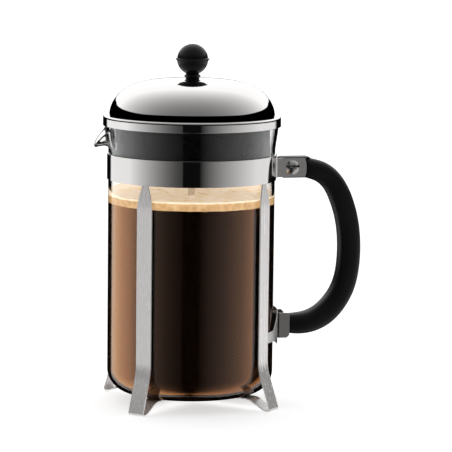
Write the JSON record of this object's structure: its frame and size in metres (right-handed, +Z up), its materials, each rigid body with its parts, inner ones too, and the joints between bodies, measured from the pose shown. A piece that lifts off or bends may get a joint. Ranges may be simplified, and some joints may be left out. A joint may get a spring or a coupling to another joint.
{
  "type": "french press",
  "caption": "Coffee press: a glass beaker with a pouring spout in a strap frame with a D-shaped handle, a domed lid and a rod-mounted filter plunger that slides down through the coffee.",
  "frame": {"origin": "on the beaker's vertical axis, in the plane the feet stand on", "axes": "+Z up along the plunger rod, +X towards the handle, so the pouring spout points along -X"},
  "size_m": [0.1947, 0.1252, 0.2538],
  "materials": {
    "band_steel": "polished stainless steel",
    "strap_steel": "satin stainless steel",
    "fastener_steel": "plated steel",
    "bracket_steel": "satin steel sheet",
    "handle_plastic": "matte black moulding",
    "borosilicate": "clear glass",
    "lid_steel": "mirror-polished stainless steel",
    "collar_plastic": "dark grey moulding",
    "inner_steel": "satin stainless steel",
    "bushing_plastic": "black moulding",
    "knob_plastic": "black moulding",
    "rod_steel": "polished steel rod",
    "insert_brass": "turned brass",
    "filter_steel": "stainless steel",
    "filter_mesh": "fine woven steel mesh"
  },
  "bodies": {
    "frame": {"frame_band": "band_steel", "leg_strap_upper": "strap_steel", "leg_strap_lower": "strap_steel", "base_rivet": "fastener_steel", "handle": "handle_plastic", "handle_bolt": "fastener_steel", "handle_nut": "fastener_steel", "nut_washer": "fastener_steel", "bridge_plate": "bracket_steel", "handle_clip": "bracket_steel", "clip_screw": "fastener_steel"},
    "beaker": {"beaker": "borosilicate"},
    "lid": {"lid_dome": "lid_steel", "lid_collar": "collar_plastic", "splash_plate": "inner_steel", "rod_bushing": "bushing_plastic", "lid_nut": "inner_steel"},
    "plunger": {"plunger_rod": "rod_steel", "knob": "knob_plastic", "knob_insert": "insert_brass", "shoulder_nut": "filter_steel", "spiral_plate": "filter_steel", "mesh_filter": "filter_mesh", "rim_spring": "filter_steel", "cross_plate": "filter_steel", "filter_hub": "filter_steel"}
  },
  "joints": [
    {"name": "beaker_lift", "type": "slide", "parent": "frame", "child": "beaker", "axis": [0, 0, 1], "range_m": [0, 0.175]},
    {"name": "lid_lift", "type": "slide", "parent": "beaker", "child": "lid", "axis": [0, 0, 1], "range_m": [0, 0.195]},
    {"name": "plunger_slide", "type": "slide", "parent": "lid", "child": "plunger", "axis": [0, 0, 1], "range_m": [0, 0.13]}
  ]
}
